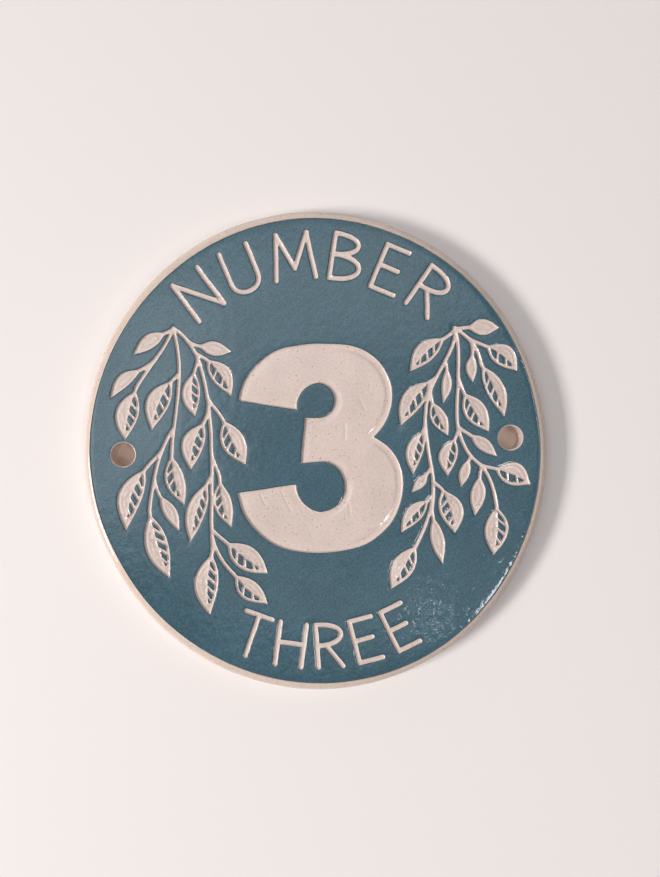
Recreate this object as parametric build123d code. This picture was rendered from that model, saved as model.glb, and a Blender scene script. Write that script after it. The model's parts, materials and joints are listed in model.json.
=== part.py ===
from build123d import *
import math
import os
from collections import namedtuple

# Hand-cut ceramic house number plaque, carved with a numeral between two leaf sprays, in millimetres.
# It stands as it hangs on a wall: X runs to the right, Z runs up, the flat back lies on y = 0 and the
# face looks towards -Y. The origin is the middle of the back.

# Slab: an oval cut from rolled clay, rounded over at the face and softened at the back
SHORT_DIAMETER = 147.6
LONG_DIAMETER = 152.6
OVAL_LEAN = 9.1  # degrees that the long axis leans, its top to the left
THICKNESS = 7.2
FACE_EDGE_RADIUS = 3.6
BACK_EDGE_CHAMFER = 0.8

# Screw holes: one at each side, punched through by hand on a line that is not quite level
HOLE_DIAMETER = 7.7
HOLE_EDGE_DISTANCE = 12.8  # from the slab's side to the hole's centre
HOLE_LINE_LEAN = 2.5  # degrees, the right-hand hole being the higher one
HOLE_LINE_SHIFT = 0.35
HOLE_LINE_RISE = 1.5
HOLE_MOUTH_CHAMFER = 0.4

# Carving: depths below the face, and the widths of the cut lines and of what is left between them
NUMERAL_DEPTH = 0.5
LEAF_DEPTH = 0.4
STEM_DEPTH = 0.35
STEM_WIDTH = 1.1
LEAF_BORDER = 0.6
VEIN_WIDTH = 0.6
VEIN_PITCH = 3.3
VEIN_SLANT = 30.0  # degrees that the veins lean towards the leaf's tip

# The drawing below is laid out for a flat field of this radius and is fitted to the slab's own field
DRAWN_FIELD_RADIUS = 70.2

# Numeral: its outline from the upper terminal's inner corner, clockwise over the top.
# A single point ends a straight cut, and a pair is a point on an arc and the arc's end.
NUMERAL_START = (-5.9, 12.9)
NUMERAL_CUTS = [
    [(-22.9, 15.6)],
    [(-24.1, 16.1), (-24.2, 17.3)],
    [(-19.5, 26.3), (-9.9, 32.4)],
    [(0.0, 33.7), (8.1, 33.5)],
    [(18.3, 29.5), (23.9, 20.1)],
    [(22.8, 10.9), (18.2, 4.4)],
    [(24.2, -0.4), (27.4, -9.1)],
    [(24.9, -20.6), (13.9, -30.1)],
    [(4.0, -32.0), (-5.8, -31.6)],
    [(-18.3, -25.7), (-24.7, -13.3)],
    [(-6.3, -10.6)],
    [(-4.0, -16.4), (1.5, -19.3)],
    [(9.2, -11.2), (2.5, -3.3)],
    [(-4.7, -4.0)],
    [(-3.5, 10.3)],
    [(1.2, 10.3)],
    [(5.9, 15.8), (0.6, 21.3)],
    [(-4.2, 18.9), (-5.9, 12.9)],
]

# Leaf sprays: each stem is a curve by its control points, with the leaves that grow from it.
# A leaf leaves its stem a share of the way along the curve, and a short twig leads to its base.
# A leaf with a hatched half names the side of that half on a leaf that hangs straight down.
# The bow is how far a leaf's midrib curves over to the side away from its hatched half.
Stem = namedtuple("Stem", "curve leaves")
Leaf = namedtuple("Leaf", "along base tip width bow hatched")
PLAIN, LEFT, RIGHT = 0, -1, 1

STEMS = [
    # Left spray: outer stem, middle stem, its low branch, inner stem and its low branch
    Stem(
        [(-44.9, 38.5), (-47.4, 31.5), (-54.2, 24.6), (-56.6, 19.5)],
        [
            Leaf(0.00, (-46.8, 37.2), (-57.5, 30.2), 4.5, 0.7, PLAIN),
            Leaf(0.52, (-54.6, 25.6), (-64.7, 16.5), 4.2, 1.4, PLAIN),
            Leaf(1.00, (-56.7, 19.2), (-60.0, 3.9), 7.2, 0.8, RIGHT),
        ],
    ),
    Stem(
        [(-44.9, 38.5), (-40.8, 24.0), (-44.5, 13.6), (-45.4, -0.6)],
        [
            Leaf(0.36, (-44.9, 22.4), (-51.6, 6.4), 7.2, 1.4, RIGHT),
            Leaf(1.00, (-45.4, -1.2), (-41.6, -17.1), 6.1, -1.2, LEFT),
        ],
    ),
    Stem(
        [(-45.2, 6.4), (-49.2, 1.0), (-51.6, -10.0), (-52.4, -19.4)],
        [
            Leaf(0.34, (-53.4, -5.4), (-59.7, -25.0), 7.5, 1.7, RIGHT),
            Leaf(0.66, (-49.4, -13.8), (-43.0, -25.2), 4.2, -0.3, PLAIN),
            Leaf(1.00, (-52.4, -19.6), (-46.0, -40.0), 7.3, 0.5, RIGHT),
        ],
    ),
    Stem(
        [(-44.9, 38.5), (-28.8, 29.7), (-34.0, -10.8), (-32.4, -31.5)],
        [
            Leaf(0.11, (-37.4, 33.1), (-26.6, 31.3), 4.5, 0.0, PLAIN),
            Leaf(0.19, (-34.6, 28.9), (-26.8, 17.4), 6.5, 0.8, LEFT),
            Leaf(0.22, (-38.2, 25.2), (-37.9, 10.8), 5.8, 1.0, RIGHT),
            Leaf(0.41, (-29.3, 10.0), (-22.2, -4.4), 7.3, -0.7, LEFT),
            Leaf(0.43, (-35.0, 9.0), (-39.3, -6.0), 7.0, 1.4, RIGHT),
            Leaf(0.63, (-30.1, -9.2), (-26.8, -24.0), 5.6, -1.2, LEFT),
            Leaf(0.69, (-34.0, -9.8), (-39.5, -28.7), 6.1, 0.7, RIGHT),
            Leaf(0.91, (-28.2, -28.8), (-15.2, -38.6), 7.6, -0.6, LEFT),
            Leaf(1.00, (-32.6, -32.0), (-33.3, -51.7), 7.6, 1.1, RIGHT),
        ],
    ),
    Stem(
        [(-32.7, -26.5), (-31.5, -31.5), (-29.5, -35.0), (-25.8, -38.9)],
        [
            Leaf(1.00, (-25.7, -39.0), (-15.2, -48.0), 6.3, -0.9, LEFT),
        ],
    ),
    # Right spray: outer stem, middle stem and its low run, inner stem, its low run and last branch
    Stem(
        [(43.7, 38.7), (46.5, 37.0), (50.8, 34.0), (52.0, 27.5)],
        [
            Leaf(0.00, (47.3, 38.8), (57.6, 38.8), 5.0, -0.1, PLAIN),
            Leaf(0.52, (53.4, 33.0), (63.4, 25.2), 6.8, 0.8, LEFT),
            Leaf(0.58, (49.4, 30.8), (49.4, 21.6), 3.5, 0.4, PLAIN),
            Leaf(1.00, (52.1, 27.2), (59.4, 10.9), 5.8, 0.5, LEFT),
        ],
    ),
    Stem(
        [(43.7, 38.7), (46.8, 28.0), (43.0, 15.0), (45.0, 6.5)],
        [
            Leaf(0.48, (46.5, 18.4), (54.4, 6.1), 7.0, -0.5, LEFT),
            Leaf(0.97, (48.2, 5.2), (57.1, -1.7), 4.0, -0.2, PLAIN),
            Leaf(1.00, (43.9, 4.1), (41.5, -7.9), 5.8, 0.9, RIGHT),
        ],
    ),
    Stem(
        [(45.0, 6.5), (48.8, -7.6), (53.8, 0.6), (56.9, -17.0)],
        [
            Leaf(0.32, (48.3, -2.4), (45.7, -11.2), 3.4, 0.2, PLAIN),
            Leaf(0.56, (56.2, -5.5), (67.4, -10.6), 7.3, 0.5, LEFT),
            Leaf(0.58, (51.6, -7.5), (50.0, -20.3), 4.8, -0.2, PLAIN),
            Leaf(1.00, (56.9, -17.4), (56.0, -32.7), 7.5, -0.8, RIGHT),
        ],
    ),
    Stem(
        [(43.7, 38.7), (44.6, 30.3), (34.7, 22.4), (34.6, 12.0)],
        [
            Leaf(0.02, (40.6, 35.6), (29.6, 25.0), 6.3, 0.7, RIGHT),
            Leaf(0.42, (41.2, 26.6), (40.0, 14.9), 3.2, -0.5, PLAIN),
            Leaf(0.62, (35.8, 21.4), (26.7, 8.0), 6.8, 1.1, RIGHT),
            Leaf(0.78, (36.4, 15.6), (41.6, 4.8), 5.0, -0.5, LEFT),
        ],
    ),
    Stem(
        [(34.6, 12.0), (33.2, 4.0), (38.6, -6.0), (36.4, -19.6)],
        [
            Leaf(0.12, (34.0, 6.8), (30.6, -7.3), 5.5, 1.0, RIGHT),
            Leaf(0.62, (35.2, -6.8), (30.2, -13.0), 3.1, -0.2, PLAIN),
            Leaf(0.76, (39.6, -11.8), (43.8, -25.9), 7.5, 0.6, LEFT),
            Leaf(0.86, (35.6, -15.3), (26.8, -25.6), 5.3, 0.4, RIGHT),
            Leaf(1.00, (36.9, -20.2), (40.0, -35.5), 4.5, 0.2, PLAIN),
        ],
    ),
    Stem(
        [(36.6, -15.5), (36.0, -20.5), (33.5, -26.0), (31.6, -29.7)],
        [
            Leaf(1.00, (31.6, -29.8), (23.8, -43.4), 7.0, 0.0, RIGHT),
        ],
    ),
]

# Worked-out sizes
FACE = Plane.XZ.offset(THICKNESS)
FIELD_RADIUS = min(SHORT_DIAMETER, LONG_DIAMETER) / 2 - FACE_EDGE_RADIUS
DRAWING_SCALE = FIELD_RADIUS / DRAWN_FIELD_RADIUS
HOLE_REACH = SHORT_DIAMETER / 2 - HOLE_EDGE_DISTANCE
HOLE_CENTRES = [
    Vector(HOLE_LINE_SHIFT, HOLE_LINE_RISE) + Vector(side * HOLE_REACH, 0).rotate(Axis.Z, HOLE_LINE_LEAN)
    for side in (LEFT, RIGHT)
]

# A leaf's two edges as control points: along in leaf lengths, across in leaf widths to the plain side
PLAIN_EDGE = [(0.0, 0.0), (0.12, 0.03), (0.25, 0.74), (0.62, 0.93), (0.88, 0.2), (1.0, 0.0)]
HATCHED_EDGE = [(0.0, 0.0), (0.12, -0.03), (0.24, -0.68), (0.6, -0.68), (0.86, -0.1), (1.0, 0.0)]
SMALL_LEAF_EDGE = [(0.0, 0.0), (0.16, 0.03), (0.26, 0.7), (0.62, 0.8), (0.85, 0.14), (1.0, 0.0)]
ARCS_PER_EDGE = 4
ROOM_STEPS = 40  # places along a leaf that are tried for room for its windows


def drawn(point):
    """A point of the drawing, fitted to the slab's field."""
    return Vector(*point) * DRAWING_SCALE


def along_curve(control_points, share):
    """The point a share of the way along a curve that is given by its control points."""
    points = [Vector(point) for point in control_points]
    while len(points) > 1:
        points = [a * (1 - share) + b * share for a, b in zip(points, points[1:])]
    return points[0]


def leaf_place(leaf):
    """Turns a place on a leaf, in lengths along and widths to the plain side, into a point of the field."""
    base, tip = drawn(leaf.base), drawn(leaf.tip)
    length = tip - base
    rightwards = Vector(-length.Y, length.X).normalized()
    across = rightwards * (-(leaf.hatched or RIGHT) * leaf.width * DRAWING_SCALE)
    return lambda place: base + length * place.X + across * place.Y


def bowed(edge, leaf):
    """The control points of a leaf's edge, moved over as its midrib bows."""
    degree = len(edge) - 1
    lift = 4 * leaf.bow / leaf.width / (degree * (degree - 1))
    return [
        Vector(along, across + lift * row * (degree - row)) for row, (along, across) in enumerate(edge)
    ]


def leaf_edge(edge, leaf):
    """One edge of a leaf, cut in short arcs one after another from the base to the tip."""
    place = leaf_place(leaf)
    points = bowed(edge, leaf)
    steps = 2 * ARCS_PER_EDGE
    spots = [place(along_curve(points, step / steps)) for step in range(steps + 1)]
    return [ThreePointArc(*spots[step : step + 3]) for step in range(0, steps, 2)]


def leaf_outline(leaf):
    """The whole leaf as one face between its two curved edges."""
    edges = [PLAIN_EDGE, HATCHED_EDGE]
    if leaf.hatched == PLAIN:
        edges = [SMALL_LEAF_EDGE, [(along, -across) for along, across in SMALL_LEAF_EDGE]]
    return make_face([arc for edge in edges for arc in leaf_edge(edge, leaf)])


def leaf_windows(leaf):
    """The slip left standing between the veins of the hatched half, as slanted four-sided faces."""
    place = leaf_place(leaf)
    width = leaf.width * DRAWING_SCALE
    length = (drawn(leaf.tip) - drawn(leaf.base)).length
    outer_edge = bowed(HATCHED_EDGE, leaf)

    def rib(share):
        return Vector(share, 4 * leaf.bow / leaf.width * share * (1 - share))

    def border(share):
        return along_curve(outer_edge, share) + Vector(0, LEAF_BORDER / width)

    def room(share):
        return (rib(share).Y - border(share).Y) * width

    shares = [step / ROOM_STEPS for step in range(ROOM_STEPS + 1)]
    wide_enough = [share for share in shares if room(share) > VEIN_WIDTH]
    if not wide_enough:
        return []
    first, last = wide_enough[0], wide_enough[-1]
    slant = math.tan(math.radians(VEIN_SLANT)) * room((first + last) / 2) / length
    last -= slant
    count = max(1, round((last - first) * length / VEIN_PITCH))
    pitch = (last - first + VEIN_WIDTH / length) / count
    windows = []
    for row in range(count):
        start = first + row * pitch
        end = start + pitch - VEIN_WIDTH / length
        corners = [rib(start), rib(end), border(end + slant), border(start + slant)]
        windows.append(make_face(Polyline(*[place(corner) for corner in corners], close=True)))
    return windows


def carved_leaf(leaf):
    """The leaf's cut: the plain half and, on the other half, the border and the veins round the windows."""
    cut = leaf_outline(leaf)
    return cut if leaf.hatched == PLAIN else cut - leaf_windows(leaf)


def carved_stem(stem):
    """A stem's cut line with the twigs that lead from it to its leaves."""
    curve = [drawn(point) for point in stem.curve]
    lines = [trace(Bezier(*curve), STEM_WIDTH)]
    for leaf in stem.leaves:
        start, base = along_curve(curve, leaf.along), drawn(leaf.base)
        into_leaf = base + (drawn(leaf.tip) - base).normalized() * STEM_WIDTH
        lines.append(trace(Line(start, into_leaf), STEM_WIDTH))
    return lines


def carved_numeral():
    """The numeral's outline, straight cuts and arcs, as one face."""
    outline = []
    here = NUMERAL_START
    for cut in NUMERAL_CUTS:
        points = [drawn(point) for point in [here, *cut]]
        outline.append(Line(*points) if len(points) == 2 else ThreePointArc(*points))
        here = cut[-1]
    return make_face(outline)


def carve(solid, faces, depth):
    """Cuts faces that are drawn on the field into the front of a solid."""
    return solid - [extrude(FACE * face, amount=-depth) for face in faces]


def oval():
    """The slab's outline: two end arcs and two flatter side arcs that meet smoothly on the diagonals."""
    side_reach, end_reach = SHORT_DIAMETER / 2, LONG_DIAMETER / 2
    centre_offset = (end_reach - side_reach) / (2 - math.sqrt(2))
    diagonal = (end_reach - centre_offset) / math.sqrt(2)
    joins = [
        Vector(across * diagonal, up * (centre_offset + diagonal))
        for across, up in ((RIGHT, 1), (LEFT, 1), (LEFT, -1), (RIGHT, -1))
    ]
    crowns = [(0, end_reach), (-side_reach, 0), (0, -end_reach), (side_reach, 0)]
    arcs = [ThreePointArc(joins[i], crowns[i], joins[(i + 1) % len(joins)]) for i in range(len(joins))]
    return Rot(0, 0, OVAL_LEAN) * make_face(arcs)


def slab():
    """The oval slab with its rounded face edge, softened back edge and screw holes."""
    blank = extrude(Plane.XZ * oval(), amount=THICKNESS)
    blank = fillet(blank.edges().group_by(Axis.Y)[0], FACE_EDGE_RADIUS)
    blank = chamfer(blank.edges().group_by(Axis.Y)[-1], BACK_EDGE_CHAMFER)
    bores = [Plane.XZ * Pos(centre) * Circle(HOLE_DIAMETER / 2) for centre in HOLE_CENTRES]
    blank -= [extrude(bore, amount=THICKNESS) for bore in bores]
    face_edges = blank.faces().sort_by(Axis.Y)[0].inner_wires()
    return chamfer([edge for wire in face_edges for edge in wire.edges()], HOLE_MOUTH_CHAMFER)


stem_lines = Sketch() + [line for stem in STEMS for line in carved_stem(stem)]
leaves = [carved_leaf(leaf) for stem in STEMS for leaf in stem.leaves]

plaque = slab()
plaque = carve(plaque, [carved_numeral()], NUMERAL_DEPTH)
plaque = carve(plaque, leaves, LEAF_DEPTH)
plaque = carve(plaque, [stem_lines], STEM_DEPTH)

os.makedirs("parts", exist_ok=True)
export_step(plaque, "parts/plaque.step")
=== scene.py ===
import json
import math
from collections import namedtuple

import bmesh
import bpy
import numpy as np
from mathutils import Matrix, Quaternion, Vector, noise
from mathutils.geometry import delaunay_2d_cdt


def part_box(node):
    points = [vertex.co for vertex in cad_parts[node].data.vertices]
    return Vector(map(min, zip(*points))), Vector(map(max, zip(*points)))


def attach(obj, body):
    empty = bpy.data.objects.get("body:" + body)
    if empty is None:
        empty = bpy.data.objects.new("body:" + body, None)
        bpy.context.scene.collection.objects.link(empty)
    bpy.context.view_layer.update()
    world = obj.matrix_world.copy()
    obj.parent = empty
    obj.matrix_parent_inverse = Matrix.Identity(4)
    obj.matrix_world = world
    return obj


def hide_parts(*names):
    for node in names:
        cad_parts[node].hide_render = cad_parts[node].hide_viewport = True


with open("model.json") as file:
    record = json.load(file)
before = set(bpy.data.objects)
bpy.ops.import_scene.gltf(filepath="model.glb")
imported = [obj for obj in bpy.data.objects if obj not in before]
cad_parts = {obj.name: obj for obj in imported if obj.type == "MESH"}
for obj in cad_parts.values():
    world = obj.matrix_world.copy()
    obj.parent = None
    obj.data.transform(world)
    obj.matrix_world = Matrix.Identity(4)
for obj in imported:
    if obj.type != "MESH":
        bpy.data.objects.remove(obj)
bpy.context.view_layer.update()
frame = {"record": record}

# Leaf sprays: two hanging sprays cut with a loop tool through the soft slip, down to the pale clay.
# Each large leaf has one half scraped bare and one half hatched, with windows of slip left standing
# between its veins. Twigs lead from the stems to the leaves, which bow towards their scraped half.

mm = 0.001
LEAF_DEPTH = 0.4 * mm
STEM_DEPTH = 0.35 * mm
STEM_WIDTH = 1.1 * mm
FORK_LEAD, FORK_BEND, FORK_STEP = 0.25, 0.22, 0.02
LEAF_ROUNDING = 0.15 * mm
PLAIN, LEFT, RIGHT = 0, -1, 1
LEAF_LENGTH_PER_WINDOW = 4.0 * mm
FEWEST_WINDOWS, MOST_WINDOWS = 3, 5
STEM_POINTS, TWIG_POINTS, MEASURE_POINTS = 40, 10, 12
LEAF_EDGE_POINTS, BORDER_POINTS, WINDOW_OUTER_POINTS, WINDOW_INNER_POINTS = 21, 81, 5, 4

# A leaf's edges by their control points: along in leaf lengths, across in leaf widths
SCRAPED_EDGE = [(0.0, 0.0), (0.12, 0.03), (0.25, 0.74), (0.62, 0.93), (0.88, 0.2), (1.0, 0.0)]
HATCHED_EDGE = [(0.0, 0.0), (0.12, -0.03), (0.24, -0.68), (0.6, -0.68), (0.86, -0.1), (1.0, 0.0)]
SMALL_LEAF_EDGE = [(0.0, 0.0), (0.16, 0.03), (0.26, 0.7), (0.62, 0.8), (0.85, 0.14), (1.0, 0.0)]
WINDOWS_FROM, WINDOWS_TO = 0.12, 0.82
VEIN_SHARE = 0.066
VEIN_SLANT = 0.1
BORDER_SHARE = 0.12
LEAST_WINDOW = 0.1

# In millimetres: a stem's curve by its control points, and its leaves by how far along it they hang
Stem = namedtuple("Stem", "curve leaves")
Leaf = namedtuple("Leaf", "along base tip width bow hatched")
STEMS = [
    # Left spray: outer stem, middle stem, its low branch, inner stem and its low branch
    Stem([(-44.9, 38.5), (-47.4, 31.5), (-54.2, 24.6), (-56.6, 19.5)], [
        Leaf(0.00, (-46.8, 37.2), (-57.5, 30.2), 4.5, 0.7, PLAIN),
        Leaf(0.52, (-54.6, 25.6), (-64.7, 16.5), 4.2, 1.4, PLAIN),
        Leaf(1.00, (-56.7, 19.2), (-60.0, 3.3), 7.2, 0.8, RIGHT),
    ]),
    Stem([(-44.9, 38.5), (-40.8, 24.0), (-44.5, 13.6), (-45.4, -0.6)], [
        Leaf(0.36, (-44.9, 22.4), (-51.6, 6.4), 7.2, 1.4, RIGHT),
        Leaf(1.00, (-45.4, -1.2), (-41.6, -17.1), 6.1, -1.2, LEFT),
    ]),
    Stem([(-45.2, 6.4), (-49.2, 1.0), (-51.6, -10.0), (-52.4, -19.4)], [
        Leaf(0.34, (-53.4, -5.4), (-59.7, -25.0), 7.5, 1.7, RIGHT),
        Leaf(0.66, (-49.4, -13.8), (-43.0, -25.2), 4.2, -0.3, PLAIN),
        Leaf(1.00, (-52.4, -19.6), (-46.0, -40.0), 7.3, 0.5, RIGHT),
    ]),
    Stem([(-44.9, 38.5), (-28.8, 29.7), (-34.0, -10.8), (-32.4, -31.5)], [
        Leaf(0.11, (-37.4, 33.1), (-26.6, 31.3), 4.5, 0.0, PLAIN),
        Leaf(0.19, (-34.6, 28.9), (-26.8, 17.4), 6.5, 0.8, LEFT),
        Leaf(0.22, (-38.2, 25.2), (-37.9, 10.8), 5.8, 1.0, RIGHT),
        Leaf(0.41, (-29.3, 10.0), (-22.2, -4.4), 7.3, -0.7, LEFT),
        Leaf(0.43, (-35.0, 9.0), (-39.3, -6.0), 7.0, 1.4, RIGHT),
        Leaf(0.63, (-30.1, -9.2), (-26.8, -24.0), 5.6, -1.2, LEFT),
        Leaf(0.69, (-34.0, -9.8), (-39.5, -28.7), 6.1, 0.7, RIGHT),
        Leaf(0.91, (-28.2, -28.8), (-15.2, -38.6), 7.6, -0.6, LEFT),
        Leaf(1.00, (-32.6, -32.0), (-33.3, -51.7), 7.6, 1.1, RIGHT),
    ]),
    Stem([(-32.7, -26.5), (-31.5, -31.5), (-29.5, -35.0), (-25.8, -38.9)], [
        Leaf(1.00, (-25.7, -39.0), (-15.2, -48.0), 6.3, -0.9, LEFT),
    ]),
    # Right spray: outer stem, middle stem and its low run, inner stem, its low run and last branch
    Stem([(43.7, 38.7), (46.5, 37.0), (50.8, 34.0), (52.0, 27.5)], [
        Leaf(0.00, (47.3, 38.8), (57.6, 38.8), 5.0, -0.1, PLAIN),
        Leaf(0.52, (53.4, 33.0), (63.4, 25.2), 6.8, 0.8, LEFT),
        Leaf(0.58, (49.4, 30.8), (49.4, 21.6), 3.5, 0.4, PLAIN),
        Leaf(1.00, (52.1, 27.2), (59.4, 10.9), 5.8, 0.5, LEFT),
    ]),
    Stem([(43.7, 38.7), (46.8, 28.0), (43.0, 15.0), (45.0, 6.5)], [
        Leaf(0.48, (46.5, 18.4), (54.4, 6.1), 7.0, -0.5, LEFT),
        Leaf(0.97, (48.2, 5.2), (57.1, -1.7), 4.0, -0.2, PLAIN),
        Leaf(1.00, (43.9, 4.1), (41.5, -7.9), 5.8, 0.9, RIGHT),
    ]),
    Stem([(45.0, 6.5), (48.8, -7.6), (53.8, 0.6), (56.9, -17.0)], [
        Leaf(0.32, (48.3, -2.4), (45.7, -11.2), 3.4, 0.2, PLAIN),
        Leaf(0.56, (56.2, -5.5), (67.4, -10.6), 7.3, 0.5, LEFT),
        Leaf(0.58, (51.6, -7.5), (50.0, -20.3), 4.8, -0.2, PLAIN),
        Leaf(1.00, (56.9, -17.4), (56.0, -32.7), 7.5, -0.8, RIGHT),
    ]),
    Stem([(43.7, 38.7), (44.6, 30.3), (34.7, 22.4), (34.6, 12.0)], [
        Leaf(0.02, (40.6, 35.6), (29.6, 25.0), 6.3, 0.7, RIGHT),
        Leaf(0.42, (41.2, 26.6), (40.0, 14.9), 3.2, -0.5, PLAIN),
        Leaf(0.62, (36.5, 22.2), (26.7, 8.0), 6.8, 1.1, RIGHT),
        Leaf(0.78, (36.4, 15.6), (41.6, 4.8), 5.0, -0.5, LEFT),
    ]),
    Stem([(34.6, 12.0), (33.2, 4.0), (38.6, -6.0), (36.4, -19.6)], [
        Leaf(0.12, (34.0, 6.8), (30.6, -7.3), 5.5, 1.0, RIGHT),
        Leaf(0.62, (35.2, -6.8), (30.2, -13.0), 3.1, -0.2, PLAIN),
        Leaf(0.76, (39.6, -11.8), (43.8, -25.9), 7.5, 0.6, LEFT),
        Leaf(0.86, (35.6, -15.3), (26.8, -25.6), 5.3, 0.4, RIGHT),
        Leaf(1.00, (36.9, -20.2), (40.0, -35.5), 4.5, 0.2, PLAIN),
    ]),
    Stem([(36.6, -15.5), (36.0, -20.5), (33.5, -26.0), (31.6, -29.7)], [
        Leaf(1.00, (31.6, -29.8), (23.8, -43.4), 7.0, 0.0, RIGHT),
    ]),
]

# A cut is an open line with a half width, or a closed outline with a corner rounding, and its depth
Cut = namedtuple("Cut", "line closed reach depth")


def bezier(control_points, shares):
    """Points at the given shares of the curve that a list of control points draws."""
    rows = [np.outer(np.ones(len(shares)), point) for point in np.asarray(control_points, float)]
    shares = np.asarray(shares, float)[:, None]
    while len(rows) > 1:
        rows = [a * (1 - shares) + b * shares for a, b in zip(rows, rows[1:])]
    return rows[0]


def new_object(name, mesh):
    thing = bpy.data.objects.new(name, mesh)
    bpy.context.scene.collection.objects.link(thing)
    return thing


def add_node(tree, kind, inputs=None, **settings):
    """Adds a node, sets it up, and links or fills its inputs, by name or by number."""
    node = tree.nodes.new(kind)
    for name, value in settings.items():
        setattr(node, name, value)
    for key, value in (inputs or {}).items():
        if isinstance(value, bpy.types.NodeSocket):
            tree.links.new(value, node.inputs[key])
        else:
            node.inputs[key].default_value = value
    return node


def calc(tree, operation, first, second=0.0, clamp=False):
    node = add_node(tree, "ShaderNodeMath", {0: first, 1: second}, operation=operation, use_clamp=clamp)
    return node.outputs[0]


def read(tree, name, kind="FLOAT"):
    node = add_node(tree, "GeometryNodeInputNamedAttribute", {"Name": name}, data_type=kind)
    return node.outputs["Attribute"]


def new_tree(kind, name, inputs, outputs):
    """A node tree with named inputs and outputs, and its two end nodes."""
    tree = bpy.data.node_groups.new(name, kind)
    for socket_name, socket_kind, value in inputs:
        kind_name = "NodeSocket" + socket_kind
        socket = tree.interface.new_socket(socket_name, in_out="INPUT", socket_type=kind_name)
        if value is not None:
            socket.default_value = value
    for socket_name, socket_kind in outputs:
        tree.interface.new_socket(socket_name, in_out="OUTPUT", socket_type="NodeSocket" + socket_kind)
    return tree, tree.nodes.new("NodeGroupInput"), tree.nodes.new("NodeGroupOutput")


def run_nodes(thing, tree, values=None):
    """Runs a Geometry Nodes tree on an object and keeps its result as the object's plain mesh."""
    modifier = thing.modifiers.new(tree.name, "NODES")
    modifier.node_group = tree
    sockets = {item.name: item.identifier for item in tree.interface.items_tree if item.in_out == "INPUT"}
    for name, value in (values or {}).items():
        modifier[sockets[name]] = value
    graph = bpy.context.evaluated_depsgraph_get()
    finished = bpy.data.meshes.new_from_object(thing.evaluated_get(graph))
    thing.modifiers.remove(modifier)
    thing.data = finished
    return finished


def store(mesh, name, kind, domain, values):
    attribute = mesh.attributes.new(name, kind, domain)
    field = "vector" if kind == "FLOAT_VECTOR" else "value"
    attribute.data.foreach_set(field, np.ascontiguousarray(values).ravel())


def mesh_points(mesh):
    points = np.empty(len(mesh.vertices) * 3)
    mesh.vertices.foreach_get("co", points)
    return points.reshape(-1, 3)


def leaf_pattern(window_count):
    """One leaf of length and width 1, as a flat face with the windows of its hatched half."""
    shares = np.linspace(0, 1, LEAF_EDGE_POINTS)
    if window_count:
        scraped, hatched = bezier(SCRAPED_EDGE, shares), bezier(HATCHED_EDGE, shares)
    else:
        scraped = bezier(SMALL_LEAF_EDGE, shares)
        hatched = scraped * (1, -1)
    shapes = [np.vstack([scraped, hatched[-2:0:-1]])]
    border = bezier(HATCHED_EDGE, np.linspace(0, 1, BORDER_POINTS)) + (0, BORDER_SHARE)
    border = border[border[:, 1] < -LEAST_WINDOW]
    pitch = (WINDOWS_TO - WINDOWS_FROM + VEIN_SHARE) / max(window_count, 1)
    for row in range(window_count):
        start = WINDOWS_FROM + row * pitch
        end = start + pitch - VEIN_SHARE
        along = np.linspace(end, start, WINDOW_OUTER_POINTS) + VEIN_SLANT
        outer = np.column_stack([np.clip(along, *border[[0, -1], 0]), np.interp(along, *border.T)])
        inner_along = np.linspace(start, end, WINDOW_INNER_POINTS)
        inner = np.column_stack([inner_along, np.zeros(WINDOW_INNER_POINTS)])
        shapes.append(np.vstack([inner, outer]))
    mesh = bpy.data.meshes.new("leaf_pattern")
    points = np.vstack(shapes)
    ends = np.cumsum([len(shape) for shape in shapes])
    faces = [list(range(end - len(shape), end)) for shape, end in zip(shapes, ends)]
    mesh.from_pydata([(x, 0, z) for x, z in points], [], faces)
    store(mesh, "window", "BOOLEAN", "FACE", [False] + [True] * window_count)
    store(mesh, "share", "FLOAT", "POINT", points[:, 0])
    return mesh


def leaf_ways(leaf):
    """A leaf's length, its direction, and the direction across it towards its scraped half."""
    span = np.subtract(leaf.tip, leaf.base)
    length = np.hypot(*span)
    way = span / length
    return length, way, -(leaf.hatched or RIGHT) * np.array([-way[1], way[0]])


def leaf_layout(patterns):
    """A mesh point at each leaf's base, with the turn, size, bow and pattern of its leaf."""
    leaves = [leaf for stem in STEMS for leaf in stem.leaves]
    bases = np.array([leaf.base for leaf in leaves]) * mm
    lengths, ways, across = (np.array(column) for column in zip(*map(leaf_ways, leaves)))
    lengths *= mm
    bows = across * np.array([leaf.bow for leaf in leaves])[:, None] * mm
    sides = np.array([-(leaf.hatched or RIGHT) for leaf in leaves])
    widths = np.array([leaf.width for leaf in leaves]) * mm - 2 * LEAF_ROUNDING
    wanted = np.clip(np.round(lengths / LEAF_LENGTH_PER_WINDOW), FEWEST_WINDOWS, MOST_WINDOWS)
    wanted[[leaf.hatched == PLAIN for leaf in leaves]] = 0
    places = bases + ways * LEAF_ROUNDING
    mesh = bpy.data.meshes.new("leaf_layout")
    mesh.from_pydata([(x, 0, z) for x, z in places], [], [])
    sizes = [lengths - 2 * LEAF_ROUNDING, np.ones(len(leaves)), sides * widths]
    store(mesh, "turn", "FLOAT", "POINT", -np.arctan2(ways[:, 1], ways[:, 0]))
    store(mesh, "size", "FLOAT_VECTOR", "POINT", np.column_stack(sizes))
    store(mesh, "bow", "FLOAT_VECTOR", "POINT", [(x, 0, z) for x, z in bows])
    store(mesh, "pattern", "INT", "POINT", [patterns.index(count) for count in wanted])
    return mesh


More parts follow.
